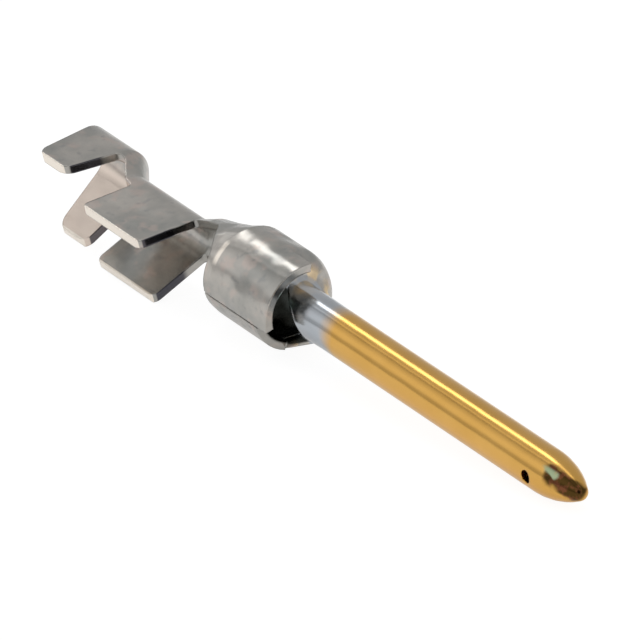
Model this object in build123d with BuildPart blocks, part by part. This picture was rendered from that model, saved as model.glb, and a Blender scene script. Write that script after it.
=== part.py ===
from build123d import *
from math import asin, cos, radians, sin, sqrt, tan
import os

# A crimp pin contact, stamped and rolled from one strip of sheet.
# It is formed along X with the tip of the pin at X = 0 and the open side of its crimps towards +Z,
# and at the end it is rolled over to lie on its side, as it does when it is put down.

# The strip
sheet = 0.20

# The pin: a rolled tube, closed to a nose at the tip
pin_diameter = 1.02
pin_rear = 9.90
nose_length = 1.31
nose_end_radius = 0.20
pin_rear_slant = 44.4
pin_root_growth = 0.03
pin_root_length = 0.95
pin_seam_angle = 53.9
pin_seam_width = 0.03
pin_seam_reach = 0.86
witness_hole_diameter = 0.30
witness_hole_setback = 0.09
witness_hole_angle = -11.1

# The barrel: the wide rolled tube behind the pin
barrel_diameter = 2.19
barrel_rear = 12.08
barrel_flap_front = 9.98
barrel_lip_front = 10.35
barrel_seam_width = 0.05
shoulder_station = 10.48
shoulder_slant = 3.0
shoulder_round = 0.42
shoulder_root_round = 0.14
shoulder_cone_angle = 45.0
window_near_angle = -111.1
window_far_angle = 58.9

# The wire crimp
wire_front = 13.93
wire_length = 2.17
wire_floor_radius = 0.60
wire_floor_height = 0.22
wire_wing_lean = 10.7
wire_wing_length = 1.42
wire_wing_front_corner = 0.22
wire_wing_rear_corner = 0.20
wire_root_corner = 0.10

# The insulation crimp
insulation_front = 17.18
insulation_length = 1.02
insulation_floor_radius = 0.74
insulation_floor_height = -0.10
insulation_wing_lean = 16.0
insulation_wing_length = 1.50
insulation_wing_rear_corner = 0.42
insulation_wing_front_corner = 0.28
crimp_gap_height = -0.38
crimp_gap_root = 0.15
wire_rear_step = 0.24
wire_rear_slope = 0.08
wire_rear_slope_length = 0.35
step_front = 0.42
cut_off_length = 0.52

# The neck between the wire crimp and the barrel
neck_station = 13.40
neck_radius = 0.76
neck_height = 0.09
waist_station = 12.90
waist_radius = 0.88
waist_height = 0.11
flare_station = 12.40
flare_radius = 1.00
flare_height = 0.07
neck_wall_top = 0.02
neck_dip = 0.05
neck_dip_station = 12.98
neck_dip_corner = 0.25
neck_rise = 0.70
neck_rise_corner = 0.30
rim_station = 12.30
rim_run = 0.05

# How it lies when it is put down: rolled on its side, with the nose a little down
rest_roll = 109.88
rest_pitch = 3.60

# Sizes that follow from those above
pin_radius = pin_diameter / 2
pin_root_radius = pin_radius + pin_root_growth / 2
pin_straight_rear = pin_rear - pin_root_length
barrel_radius = barrel_diameter / 2
witness_hole_station = nose_length + witness_hole_setback
seam_front = nose_length - pin_seam_reach
strip_end = insulation_front + insulation_length + cut_off_length
wire_rear = wire_front + wire_length
insulation_rear = insulation_front + insulation_length
clear = 2 * barrel_diameter
margin = 0.01


def station(distance):
    """The cross-section plane at a distance behind the tip, with Y across and Z up."""
    return Plane.YZ.offset(-distance)


def around(angle, radius):
    """A point of a cross-section, turned from the open side about the axis of the pin."""
    return (-radius * sin(radians(angle)), radius * cos(radians(angle)))


def slanted(distance, slant):
    """A plane across the axis that leans forward at the seam of the pin."""
    rise = tan(radians(slant))
    side, up = around(pin_seam_angle, rise)
    return Plane(origin=(-distance, 0, 0), x_dir=(rise**2, side, up), z_dir=(1, -side, -up))


def trough(radius, height, lean, wing):
    """The section of the bent strip: a round floor and straight wings that lean outwards."""
    along_y, along_z = sin(radians(lean)), cos(radians(lean))
    with BuildSketch() as section:
        with BuildLine():
            ends = []
            for r in (radius, radius - sheet):
                root_y, root_z = r * along_z, height - r * along_y
                tip_y, tip_z = root_y + wing * along_y, root_z + wing * along_z
                Line((tip_y, tip_z), (root_y, root_z))
                ThreePointArc((root_y, root_z), (0, height - r), (-root_y, root_z))
                Line((-root_y, root_z), (-tip_y, tip_z))
                ends.append((tip_y, tip_z))
            for side in (1, -1):
                Line(*[(side * y, z) for y, z in ends])
        make_face()
    return section.sketch


def tip_height(radius, height, lean, wing):
    """The height of the inner corner of a wing tip."""
    along_y, along_z = sin(radians(lean)), cos(radians(lean))
    return height - (radius - sheet) * along_y + wing * along_z


def nose(inset):
    """The pointed nose: an arc that leaves the pin without an edge and ends in a small ball."""
    straight = nose_length - nose_end_radius
    ogive_radius = (straight**2 + pin_radius**2 - nose_end_radius**2) / (
        2 * (pin_radius - nose_end_radius)
    )
    centre_z = pin_radius - ogive_radius
    wall_radius = ogive_radius - inset
    reach = sqrt(straight**2 + centre_z**2)
    start = (-nose_length, pin_radius - inset)
    root = (-nose_length, 0)
    if inset < nose_end_radius:
        joint_x = -nose_end_radius + nose_end_radius * straight / reach
        joint = (joint_x, -nose_end_radius * centre_z / reach)
        tip = (0, 0)
    else:
        joint = tip = (-nose_length + sqrt(wall_radius**2 - centre_z**2), 0)
    half_turn = asin((joint[0] + nose_length) / wall_radius) / 2
    middle_x = -nose_length + wall_radius * sin(half_turn)
    middle = (middle_x, centre_z + wall_radius * cos(half_turn))
    with BuildPart() as turned:
        with BuildSketch(Plane.XZ):
            with BuildLine():
                ThreePointArc(start, middle, joint)
                if joint != tip:
                    rise = asin(joint[1] / nose_end_radius) / 2
                    bend_x = -nose_end_radius + nose_end_radius * cos(rise)
                    ThreePointArc(joint, (bend_x, nose_end_radius * sin(rise)), tip)
                Line(tip, root)
                Line(root, start)
            make_face()
        revolve(axis=Axis.X)
    return turned


def front_core(inset):
    """The solid inside the barrel, the shoulder and the pin, which widens a little at its root."""
    wall_shift = inset * tan(radians(shoulder_cone_angle) / 2)
    shoulder_plane = slanted(shoulder_station + wall_shift, shoulder_slant)
    pin_plane = slanted(pin_rear + wall_shift, pin_rear_slant)
    seam_turn = Rotation(0, 0, pin_seam_angle + 90)
    with BuildPart() as barrel_core:
        with BuildSketch(station(barrel_rear)):
            with Locations(seam_turn):
                Circle(barrel_radius - inset)
        extrude(amount=barrel_rear)
        split(bisect_by=shoulder_plane, keep=Keep.BOTTOM)
    root_minor = pin_root_radius - inset
    root_major = root_minor / cos(radians(pin_rear_slant))
    with BuildPart() as pin_core:
        with BuildSketch(pin_plane):
            Ellipse(root_major, root_minor)
        with BuildSketch(station(pin_straight_rear)):
            with Locations(seam_turn):
                Circle(pin_radius - inset)
        loft(ruled=True)
        with BuildSketch(station(pin_straight_rear)):
            with Locations(seam_turn):
                Circle(pin_radius - inset)
        extrude(amount=pin_straight_rear - nose_length)
    nose_core = nose(inset)
    with BuildPart() as core:
        add(barrel_core.part)
        add(pin_core.part)
        with BuildSketch(shoulder_plane):
            Ellipse((barrel_radius - inset) / cos(radians(shoulder_slant)), barrel_radius - inset)
        with BuildSketch(pin_plane):
            Ellipse(root_major, root_minor)
        loft(ruled=True)
        add(nose_core.part, rotation=(pin_seam_angle, 0, 0))
    return core


def rounded_core(inset, round_radius, root_radius):
    """The core with the edge of the shoulder and its root rounded."""
    with BuildPart() as core:
        add(front_core(inset).part)
        rings = core.edges().filter_by(GeomType.ELLIPSE).sort_by(Axis.X)
        fillet(rings[0], round_radius)
        rings = core.edges().filter_by(GeomType.ELLIPSE).sort_by(Axis.X)
        fillet(rings[-1], root_radius)
    return core


def ring_sector(radius, first_angle, last_angle):
    """A sector of the rolled wall, between two angles from the open side."""
    middle_angle = (first_angle + last_angle) / 2
    with BuildSketch() as sector:
        with BuildLine():
            for r in (radius, radius - sheet):
                ThreePointArc(around(first_angle, r), around(middle_angle, r), around(last_angle, r))
            for angle in (first_angle, last_angle):
                Line(around(angle, radius), around(angle, radius - sheet))
        make_face()
    return sector.sketch


# The front of the contact: barrel, shoulder and pin as one shell, with the seam of the rolled pin
with BuildPart() as front:
    add(rounded_core(0, shoulder_round, shoulder_root_round).part)
    hollow = rounded_core(sheet, shoulder_round - sheet / 2, shoulder_root_round / 2)
    add(hollow.part, mode=Mode.SUBTRACT)
    with BuildSketch(station(shoulder_station)):
        with Locations(Location((*around(pin_seam_angle, pin_radius), 0), pin_seam_angle)):
            Rectangle(pin_seam_width, pin_diameter)
    extrude(amount=shoulder_station - seam_front, mode=Mode.SUBTRACT)

# The window beside the shoulder, where the strip is notched, back to where the barrel is straight
straight_end = shoulder_station + shoulder_round + barrel_radius * tan(radians(shoulder_slant))
with BuildPart() as window:
    with BuildSketch(station(straight_end)):
        with BuildLine():
            middle_angle = (window_near_angle + window_far_angle) / 2
            Line((0, 0), around(window_near_angle, clear))
            ThreePointArc(
                around(window_near_angle, clear),
                around(middle_angle, clear),
                around(window_far_angle, clear),
            )
            Line(around(window_far_angle, clear), (0, 0))
        make_face()
    extrude(amount=straight_end)
    split(bisect_by=slanted(pin_rear, pin_rear_slant), keep=Keep.BOTTOM)

# The slit where the edges of the rolled barrel meet
with BuildPart() as barrel_seam:
    with BuildSketch(station(wire_front)):
        with Locations((0, barrel_radius)):
            Rectangle(barrel_seam_width, 3 * sheet)
    extrude(amount=wire_front - barrel_flap_front + sheet)

# The wall of the barrel goes on straight past the window, on both sides of its seam
with BuildPart() as flaps:
    for first_angle, last_angle, flap_front in (
        (window_near_angle, 0, barrel_flap_front),
        (0, window_far_angle, barrel_lip_front),
    ):
        with BuildSketch(station(straight_end)):
            add(ring_sector(barrel_radius, first_angle, last_angle))
        extrude(amount=straight_end - flap_front)
    add(barrel_seam.part, mode=Mode.SUBTRACT)

with BuildPart() as rolled:
    add(front.part)
    add(window.part, mode=Mode.SUBTRACT)
    add(barrel_seam.part, mode=Mode.SUBTRACT)
    add(flaps.part)

# The neck opens from the floor of the wire crimp to the full round of the barrel
neck_sections = [
    (wire_front, wire_floor_radius, wire_floor_height),
    (neck_station, neck_radius, neck_height),
    (waist_station, waist_radius, waist_height),
    (flare_station, flare_radius, flare_height),
    (barrel_rear, barrel_radius, 0),
]
with BuildPart() as neck:
    for distance, radius, height in neck_sections:
        with BuildSketch(station(distance)):
            with Locations((0, height)):
                Circle(radius)
    loft(ruled=True)
    for distance, radius, height in neck_sections:
        with BuildSketch(station(distance)):
            with Locations((0, height)):
                Circle(radius - sheet)
    loft(ruled=True, mode=Mode.SUBTRACT)

# The two crimps and the step between them are one trough
wire_shape = (wire_floor_radius, wire_floor_height, wire_wing_lean, wire_wing_length)
insulation_shape = (
    insulation_floor_radius,
    insulation_floor_height,
    insulation_wing_lean,
    insulation_wing_length,
)
crimp_sections = [
    (strip_end, insulation_shape),
    (insulation_front, insulation_shape),
    (wire_rear + step_front, wire_shape),
    (wire_front, wire_shape),
]
with BuildPart() as crimps:
    for distance, shape in crimp_sections:
        with BuildSketch(station(distance)):
            add(trough(*shape))
    loft(ruled=True)

# The blank's edges, seen from the side: wings, low walls between them and the rise to the barrel
wire_top = tip_height(*wire_shape) + margin
insulation_top = tip_height(*insulation_shape) + margin
floor_depth = -clear
blank_corners = [
    0,
    insulation_wing_rear_corner,
    insulation_wing_front_corner,
    crimp_gap_root,
    wire_root_corner,
    wire_root_corner,
    wire_wing_rear_corner,
    wire_wing_front_corner,
    wire_root_corner,
    neck_dip_corner,
    neck_rise_corner,
    0,
    0,
    0,
    0,
]
with BuildPart() as side_view:
    with BuildSketch(Plane.XZ):
        with BuildLine():
            FilletPolyline(
                (-strip_end, insulation_floor_height - insulation_floor_radius),
                (-insulation_rear, insulation_top),
                (-insulation_front, insulation_top),
                (-insulation_front, crimp_gap_height),
                (-wire_rear - wire_rear_slope_length, wire_rear_step - wire_rear_slope),
                (-wire_rear, wire_rear_step),
                (-wire_rear, wire_top),
                (-wire_front, wire_top),
                (-wire_front, neck_wall_top),
                (-neck_dip_station, neck_wall_top - neck_dip),
                (-rim_station - rim_run, neck_rise),
                (-rim_station, barrel_diameter),
                (-barrel_rear, barrel_diameter),
                (-barrel_rear, floor_depth),
                (-strip_end, floor_depth),
                radius=blank_corners,
                close=True,
            )
        make_face()
    extrude(amount=clear, both=True)

with BuildPart() as trimmed_crimps:
    add(crimps.part)
    add(side_view.part, mode=Mode.INTERSECT)

with BuildPart() as trimmed_neck:
    add(neck.part)
    add(side_view.part, mode=Mode.INTERSECT)
    add(barrel_seam.part, mode=Mode.SUBTRACT)

# The whole contact as it is formed, with the hole in the nose that lets plating fluid out
with BuildPart() as formed:
    add(trimmed_crimps.part)
    add(trimmed_neck.part)
    add(rolled.part)
    hole_y, hole_z = around(witness_hole_angle, 1)
    hole_axis = Plane(
        origin=(-witness_hole_station, 0, 0), x_dir=(1, 0, 0), z_dir=(0, hole_y, hole_z)
    )
    with BuildSketch(hole_axis):
        Circle(witness_hole_diameter / 2)
    extrude(amount=pin_diameter, mode=Mode.SUBTRACT)

# It is laid down on the table, where the nose, the barrel and the tip of a wing hold it up
laid_down = Rotation(0, rest_pitch, 0) * (Rotation(rest_roll, 0, 0) * formed.part)
size = laid_down.bounding_box()
with BuildPart() as contact:
    with Locations((-size.center().X, -size.center().Y, -size.min.Z)):
        add(laid_down)

os.makedirs("parts", exist_ok=True)
contact.part.label = "contact"
export_step(contact.part, "parts/contact.step")
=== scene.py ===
from math import cos, pi, radians, sin

import bmesh
import bpy
from mathutils import Euler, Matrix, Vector

# A crimp pin contact, lying on a pale table.
# The scene is in metres. The contact's own measures are in millimetres: X runs towards the tip of its pin,
# which is at zero, Z towards the open side of its crimps, and a station is counted back from the tip.

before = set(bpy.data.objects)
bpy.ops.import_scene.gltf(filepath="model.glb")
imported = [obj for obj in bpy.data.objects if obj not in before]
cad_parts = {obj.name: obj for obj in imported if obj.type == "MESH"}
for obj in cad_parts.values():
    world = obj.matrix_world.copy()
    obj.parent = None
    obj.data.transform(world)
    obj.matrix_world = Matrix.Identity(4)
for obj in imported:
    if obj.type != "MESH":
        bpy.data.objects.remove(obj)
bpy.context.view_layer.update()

mm = 0.001

# How the contact lies
rest_roll = radians(109.88)
rest_pitch = radians(3.60)
tip_place = Vector((9.3351, 0.3047, 0.4320)) * mm

# Measures of the contact
pin_rear = 9.90
pin_rim_slant = 0.51
pin_seam_angle = radians(53.9)
root_radius = 0.52
shoulder_station = 10.48
shoulder_slant = 0.057
barrel_radius = 1.095
barrel_rear = 12.08
wire_front = 13.93
wire_tip_height = 1.49
insulation_front = 17.18
insulation_tip_height = 1.13

# Colours of the nickel, from its ground to what lies over it; several of the layers are painted light, as noted
# at each
dark_nickel = (0.37, 0.37, 0.35, 1)
light_nickel = (0.54, 0.51, 0.47, 1)
pinkish_nickel = (0.60, 0.50, 0.45, 1)
smudge_grey = (0.26, 0.27, 0.28, 1)
# painted reflection of the gold pin on the shoulder
reflected_gold_tint = (0.95, 0.72, 0.42, 1)
# painted cream sheen on the lower insulation wing
wing_sheen_cream = (0.90, 0.76, 0.66, 1)
# the bare sheared metal at the wing tips, painted lighter as a highlight
sheared_edge_highlight = (0.98, 0.90, 0.80, 1)
# painted shade on the front cut faces of the wings
cut_face_shade = (0.035, 0.035, 0.055, 1)
bluish_silver = (0.50, 0.54, 0.59, 1)
glint_pale = (0.80, 1.0, 1.0, 1)
# painted highlight along the crease at the barrel's rear
crease_highlight_cream = (1.0, 0.92, 0.82, 1)

# Colours of the gold and of the painted dark reflection on the nose, with its painted green glint
dark_gold = (0.70, 0.385, 0.085, 1)
light_gold = (0.85, 0.50, 0.14, 1)
nose_reflection_brown = (0.055, 0.030, 0.008, 1)
nose_reflection_red = (0.17, 0.055, 0.03, 1)
nose_glint_green = (0.42, 0.55, 0.35, 1)

# The painted shade in the hollow of the barrel
hollow_shade_colour = (0.010, 0.016, 0.014, 1)

# The table
table_half_width = 0.4
table_drop = 0.02 * mm
table_level = 0.92
table_glow = 1.15
table_share_to_camera = 0.8
table_share_to_metal = 0.42

# The room, as the metal reflects it: the turn goes from the far horizon at 0 over the top to the near one at 1
room_strength = 1.5
room_levels = [
    (0.00, 0.37),
    (0.20, 0.35),
    (0.33, 0.34),
    (0.43, 0.36),
    (0.455, 0.90),
    (0.48, 0.90),
    (0.505, 0.36),
    (0.57, 0.38),
    (0.59, 0.62),
    (0.61, 0.55),
    (0.625, 0.15),
    (0.65, 0.38),
    (0.78, 0.58),
    (0.86, 0.58),
    (0.93, 0.34),
    (1.00, 0.34),
]
camera_dark_level = 0.05
camera_dark_outer = radians(24)
camera_dark_inner = radians(15)

# The panel of light overhead
panel_place = Vector((-0.10, 0.02, 0.14))
panel_width = 0.03
panel_length = 0.12
panel_power = 0.02

# The camera
camera_place = Vector((0.153507, -0.113650, 0.079355))
camera_aim = Vector((0.004778, -0.003336, 0.003501))
camera_roll = radians(2.46)
camera_lens = 542.25
camera_sensor = 36
camera_near_limit = 0.01

# The way from the contact's axis to the side that the camera sees, as an angle from Y towards Z
seen_side_angle = radians(32.5)


class Signal:
    """A socket of a material that can be used in a formula."""

    def __init__(self, tree, socket):
        self.tree = tree
        self.socket = socket

    def math(self, operation, *values):
        return self.tree.node("ShaderNodeMath", {"operation": operation}, values).out()

    def __add__(self, other):
        return self.math("ADD", self, other)

    def __radd__(self, other):
        return self.math("ADD", other, self)

    def __sub__(self, other):
        return self.math("SUBTRACT", self, other)

    def __rsub__(self, other):
        return self.math("SUBTRACT", other, self)

    def __mul__(self, other):
        return self.math("MULTIPLY", self, other)

    def __rmul__(self, other):
        return self.math("MULTIPLY", other, self)

    def __truediv__(self, other):
        return self.math("DIVIDE", self, other)

    def root(self):
        return self.math("SQRT", self)

    def at_least(self, other):
        return self.math("MAXIMUM", self, other)


class Node:
    """A node with its outputs by name."""

    def __init__(self, tree, node):
        self.tree = tree
        self.node = node

    def out(self, name=0):
        return Signal(self.tree, self.node.outputs[name])


class Tree:
    """The nodes of one material or of the world."""

    def __init__(self, owner):
        owner.use_nodes = True
        self.tree = owner.node_tree
        self.tree.nodes.clear()

    def node(self, kind, settings=None, inputs=()):
        made = self.tree.nodes.new(kind)
        for name, value in (settings or {}).items():
            if name == "stops":
                self.set_stops(made.color_ramp, value)
            else:
                setattr(made, name, value)
        pairs = inputs.items() if isinstance(inputs, dict) else enumerate(inputs)
        for name, value in pairs:
            if isinstance(value, Signal):
                self.tree.links.new(value.socket, made.inputs[name])
            else:
                made.inputs[name].default_value = value
        return Node(self, made)

    def set_stops(self, ramp, stops):
        while len(ramp.elements) < len(stops):
            ramp.elements.new(1.0)
        for element, (place, colour) in zip(ramp.elements, stops):
            element.position = place
            element.color = colour

    def blend(self, factor, first, second):
        """A mix of two colours."""
        return self.node(
            "ShaderNodeMix",
            {"data_type": "RGBA"},
            {0: factor, 6: first, 7: second},
        ).out(2)

    def layered(self, ground, layers):
        """The ground with each layer laid over the ones before it; a layer is its cover and its colour."""
        for cover, colour in layers:
            ground = self.blend(cover, ground, colour)
        return ground

    def ease(self, value, start, end):
        """Goes smoothly from 0 to 1 as the value goes from start to end."""
        return self.node(
            "ShaderNodeMapRange",
            {"interpolation_type": "SMOOTHSTEP"},
            {0: value, 1: start, 2: end, 3: 0.0, 4: 1.0},
        ).out()

    def band(self, value, start, full, fade, end):
        """Goes from 0 at start to 1 between full and fade, and back to 0 at end."""
        return self.ease(value, start, full) * self.ease(value, end, fade)

    def noise(self, place, scale, detail, roughness):
        inputs = {"Vector": place, "Scale": scale, "Detail": detail, "Roughness": roughness}
        return self.node("ShaderNodeTexNoise", {}, inputs).out("Fac")


def grey(level):
    return (level, level, level, 1.0)


class Strip:
    """The places and the patterns on the contact, in its own millimetres."""

    def __init__(self, tree):
        self.tree = tree
        own = tree.node(
            "ShaderNodeMapping",
            {"vector_type": "TEXTURE"},
            {
                "Vector": tree.node("ShaderNodeTexCoord").out("Object"),
                "Location": tip_place,
                "Rotation": (rest_roll, rest_pitch, 0),
                "Scale": (mm, mm, mm),
            },
        ).out()
        parts = tree.node("ShaderNodeSeparateXYZ", {}, (own,))
        self.station = 0.0 - parts.out("X")
        self.side, self.up = parts.out("Y"), parts.out("Z")
        self.radius = (self.side * self.side + self.up * self.up).root()
        # towards the camera, and across what it sees
        self.near = self.side * cos(seen_side_angle) + self.up * sin(seen_side_angle)
        self.across = self.up * cos(seen_side_angle) - self.side * sin(seen_side_angle)
        self.cloudy = tree.noise(own, 0.9, 3.0, 0.55)
        self.blotchy = tree.noise(own, 2.6, 2.0, 0.5)
        self.speckled = tree.noise(own, 5.0, 3.0, 0.6)
        self.ragged = (tree.noise(own, 3.5, 1.0, 0.5) - 0.5) * 0.7
        self.dents = tree.noise(own, 2.2, 0.0, 0.5)
        streaks = tree.node("ShaderNodeMapping", {}, {"Vector": own, "Scale": (0.10, 1, 1)}).out()
        self.fine = tree.noise(streaks, 14.0, 4.0, 0.6)

    def on_pin(self):
        return self.tree.ease(self.radius, 0.66, 0.60) * self.tree.ease(self.station, 10.6, 10.3)

    def shade_in_barrel(self):
        """Painted shade behind the wall of the shoulder, which runs from the slanted rim of the pin up to the
        barrel.
        """
        tree, station, radius = self.tree, self.station, self.radius
        to_seam = (self.up * cos(pin_seam_angle) - self.side * sin(pin_seam_angle)) / radius
        rim_station = pin_rear - to_seam * pin_rim_slant
        slope = (shoulder_station - rim_station - to_seam * shoulder_slant) / (barrel_radius - root_radius)
        behind_wall = station - rim_station - (radius - root_radius) * slope
        pin_wall = tree.band(radius, 0.34, 0.38, 0.57, 0.62) * tree.ease(station, 10.6, 10.3)
        inside = tree.ease(behind_wall, 0.08, 0.16) * tree.ease(radius, 0.97, 0.90)
        return inside * tree.ease(station, 12.9, 11.9) * (1.0 - pin_wall)

    # The tips of the wings: bare sheared metal with a painted highlight
    def wing_tips(self):
        wire = self.tree.ease(self.up, wire_tip_height - 0.015, wire_tip_height)
        insulation = self.tree.ease(self.up, insulation_tip_height - 0.015, insulation_tip_height)
        return wire + insulation * self.tree.ease(self.station, 16.6, 16.8)

    def shaded_cut_face(self, front, low, high):
        """The front cut face of a pair of wings, above the floor of their crimp, darkened with painted shade."""
        face = self.tree.band(self.station, front - 0.03, front - 0.01, front + 0.01, front + 0.025)
        return face * self.tree.ease(self.up, low, high)

    # Where the lower insulation wing has a painted cream sheen
    def lower_wing_sheen(self):
        return self.tree.ease(self.station, 16.5, 17.1) * self.tree.ease(self.side, -0.15, -0.50)

    # A painted reflection of the gold pin, on the shoulder's face beside it
    def gold_pin_reflection(self):
        by_the_pin = self.tree.ease(self.radius, 0.95, 0.75) * self.tree.band(self.station, 9.6, 9.8, 10.5, 10.7)
        return by_the_pin * self.tree.ease(self.blotchy, 0.44, 0.56)

    def rim_glint(self):
        """A glint at the slanted rim of the pin."""
        glint = self.on_pin() * self.tree.ease(self.station, 9.70, 9.88) * self.tree.ease(self.near, 0.30, 0.42)
        return glint * self.tree.band(self.across, -0.04, 0.04, 0.12, 0.20)

    def barrel_crease_highlight(self):
        """A painted highlight along the crease where the barrel starts to narrow."""
        rear = barrel_rear
        crease = self.tree.band(self.station, rear - 0.10, rear - 0.04, rear + 0.02, rear + 0.12)
        crease = crease * self.tree.ease(self.near, 0.6, 0.8)
        return crease * self.tree.band(self.across, -0.34, -0.20, 0.22, 0.34)

    # The painted reflection of the dark room on the nose, on its side towards the camera
    def nose_dark_reflection(self):
        tree, across, ragged = self.tree, self.across, self.ragged
        reflected_dark = tree.ease(self.station - ragged, 0.95, 0.72) * tree.ease(across + ragged * 0.2, -0.19, -0.12)
        return reflected_dark * tree.ease(across + ragged * 0.4, 0.29, 0.18) * tree.ease(self.near, -0.08, 0.06)

    # The painted green glint within the painted reflection on the nose
    def nose_green_glint(self):
        tree, across, ragged = self.tree, self.across, self.ragged
        spot = tree.ease(self.station - ragged * 0.5, 0.56, 0.68) * tree.ease(across, -0.12, -0.05)
        return spot * tree.ease(across + ragged * 0.5, 0.11, 0.05)

    def gold_plated(self):
        plating_line = self.station - (self.cloudy - 0.5) * 0.6 - self.side * 0.25
        return self.tree.ease(plating_line, 8.85, 8.25)


def nickel_colour(tree, strip):
    ground = tree.blend(tree.ease(strip.cloudy, 0.3, 0.7), dark_nickel, light_nickel)
    shaded_cut_faces = strip.shaded_cut_face(wire_front, 0.5, 0.7) + strip.shaded_cut_face(insulation_front, 0.1, 0.3)
    return tree.layered(
        ground,
        [
            (tree.ease(strip.blotchy, 0.52, 0.66) * 0.5, pinkish_nickel),
            (tree.ease(strip.speckled, 0.55, 0.70) * 0.35, smudge_grey),
            # painted reflection of the gold pin
            (strip.gold_pin_reflection() * 0.7, reflected_gold_tint),
            # painted sheen on the lower insulation wing
            (strip.lower_wing_sheen() * 0.8, wing_sheen_cream),
            # bare sheared tips with a painted highlight
            (strip.wing_tips(), sheared_edge_highlight),
            # painted shade on the front cut faces
            (shaded_cut_faces * 0.85, cut_face_shade),
            (strip.on_pin() * 0.8, bluish_silver),
            (strip.rim_glint(), glint_pale),
            # painted highlight along the barrel's crease
            (strip.barrel_crease_highlight(), crease_highlight_cream),
        ],
    )


def gold_colour(tree, strip):
    ground = tree.blend(strip.cloudy, dark_gold, light_gold)
    # painted reflection on the nose, dark brown with red in it, and a painted green glint
    reflected_dark = tree.blend(tree.ease(strip.speckled, 0.45, 0.60), nose_reflection_brown, nose_reflection_red)
    reflected_dark = tree.blend(strip.nose_green_glint() * 0.85, reflected_dark, nose_glint_green)
    return tree.blend(strip.nose_dark_reflection() * 0.95, ground, reflected_dark)


# The metal: bright nickel over brass, and gold on the pin from its tip to near the shoulder
def make_plated_strip():
    material = bpy.data.materials.new("plated_strip")
    tree = Tree(material)
    strip = Strip(tree)
    colour = tree.blend(strip.gold_plated(), nickel_colour(tree, strip), gold_colour(tree, strip))
    # painted shade in the hollow of the barrel
    colour = tree.blend(strip.shade_in_barrel() * 0.93, colour, hollow_shade_colour)

    # the barrel and the crimps are rougher than the pin, and the barrel is dented
    worked = tree.ease(strip.station, 9.6, 10.6)
    dented = worked * tree.ease(strip.station, 13.6, 12.6)
    roughness = 0.08 + 0.08 * strip.fine + 0.10 * strip.cloudy + 0.07 * worked
    dent_height = strip.dents * (0.3 + 0.5 * worked + 3.0 * dented)
    height = strip.cloudy * 0.35 + dent_height + strip.fine * 0.04
    rounded = tree.node("ShaderNodeBevel", {"samples": 8}, {"Radius": 0.055 * mm}).out()
    bump = tree.node(
        "ShaderNodeBump",
        {},
        {"Strength": 0.35, "Distance": 0.05 * mm, "Height": height, "Normal": rounded},
    ).out()
    shader = tree.node(
        "ShaderNodeBsdfPrincipled",
        {},
        {"Base Color": colour, "Metallic": 1.0, "Roughness": roughness, "Normal": bump},
    ).out()
    tree.node("ShaderNodeOutputMaterial", {}, (shader,))
    return material


plated_strip = make_plated_strip()
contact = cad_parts["contact"]
contact.data.materials.clear()
contact.data.materials.append(plated_strip)


# The pale table
def make_table():
    material = bpy.data.materials.new("table_white")
    tree = Tree(material)
    ray = tree.node("ShaderNodeLightPath")
    to_camera = ray.out("Is Camera Ray") * table_share_to_camera
    to_metal = ray.out("Is Glossy Ray") * table_share_to_metal
    matte = tree.node(
        "ShaderNodeBsdfPrincipled",
        {},
        {"Base Color": grey(table_level), "Roughness": 0.9, "Specular IOR Level": 0.0},
    ).out()
    glow = tree.node("ShaderNodeEmission", {}, {"Color": grey(1.0), "Strength": table_glow}).out()
    shader = tree.node("ShaderNodeMixShader", {}, (to_camera + to_metal, matte, glow)).out()
    tree.node("ShaderNodeOutputMaterial", {}, (shader,))
    shape = bmesh.new()
    bmesh.ops.create_grid(shape, x_segments=1, y_segments=1, size=table_half_width)
    bmesh.ops.translate(shape, verts=shape.verts, vec=(0, 0, -table_drop))
    mesh = bpy.data.meshes.new("table")
    shape.to_mesh(mesh)
    shape.free()
    mesh.materials.append(material)
    table = bpy.data.objects.new("table", mesh)
    bpy.context.collection.objects.link(table)


make_table()


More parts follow.
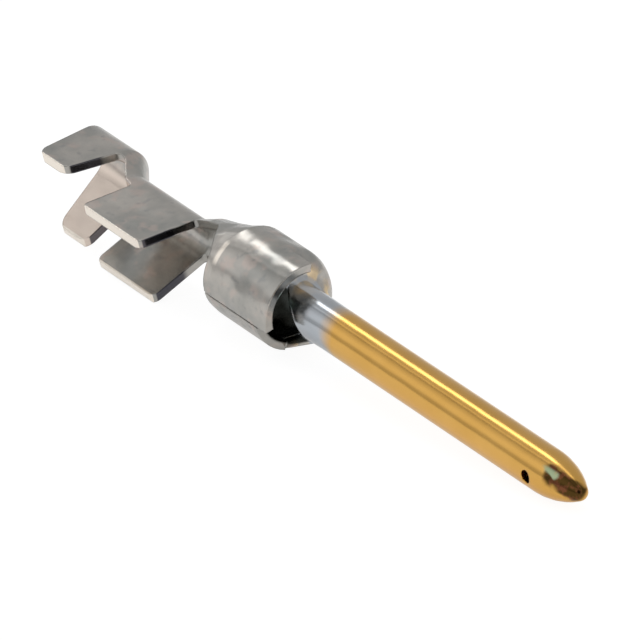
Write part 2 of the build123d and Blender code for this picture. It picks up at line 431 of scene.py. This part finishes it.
# The room: white to the camera, bands of light and dark to the metal
def make_room():
    world = bpy.data.worlds.new("room")
    bpy.context.scene.world = world
    tree = Tree(world)
    towards = tree.node("ShaderNodeTexCoord").out("Generated")
    parts = tree.node("ShaderNodeSeparateXYZ", {}, (towards,))
    angle = tree.node("ShaderNodeMath", {"operation": "ARCTAN2"}, (parts.out("Z"), parts.out("Y"))).out()
    turn = angle / pi
    stops = [(place, grey(level)) for place, level in room_levels]
    level = tree.node("ShaderNodeValToRGB", {"stops": stops}, (turn.at_least(0.0),)).out()

    # the camera is dark, and shows in what faces it
    to_camera = (camera_place - camera_aim).normalized()
    facing = tree.node("ShaderNodeVectorMath", {"operation": "DOT_PRODUCT"}, (towards, to_camera)).out("Value")
    camera_dark = tree.ease(facing, cos(camera_dark_outer), cos(camera_dark_inner))
    level = tree.blend(camera_dark, level, grey(camera_dark_level))

    light = tree.node("ShaderNodeBackground", {}, (level, room_strength)).out()
    backdrop = tree.node("ShaderNodeBackground", {}, (grey(1.0), 1.0)).out()
    seen = tree.node("ShaderNodeLightPath").out("Is Camera Ray")
    shader = tree.node("ShaderNodeMixShader", {}, (seen, light, backdrop)).out()
    tree.node("ShaderNodeOutputWorld", {}, (shader,))


make_room()


# The panel of light, aimed at the table under the middle of the contact
def make_panel():
    lamp = bpy.data.lights.new("overhead_panel", "AREA")
    lamp.shape = "RECTANGLE"
    lamp.size = panel_width
    lamp.size_y = panel_length
    lamp.energy = panel_power
    panel = bpy.data.objects.new("overhead_panel", lamp)
    panel.location = panel_place
    panel.rotation_euler = (-panel_place).to_track_quat("-Z", "Y").to_euler()
    bpy.context.collection.objects.link(panel)


make_panel()


# The camera, far off with a long lens, for a flat perspective
def make_camera():
    data = bpy.data.cameras.new("camera")
    data.sensor_width = camera_sensor
    data.lens = camera_lens
    data.clip_start = camera_near_limit
    camera = bpy.data.objects.new("camera", data)
    camera.location = camera_place
    camera.rotation_mode = "QUATERNION"
    looking = (camera_aim - camera_place).to_track_quat("-Z", "Y")
    camera.rotation_quaternion = looking @ Euler((0, 0, camera_roll)).to_quaternion()
    bpy.context.collection.objects.link(camera)
    bpy.context.scene.camera = camera


make_camera()

bpy.context.scene.view_settings.view_transform = "Standard"
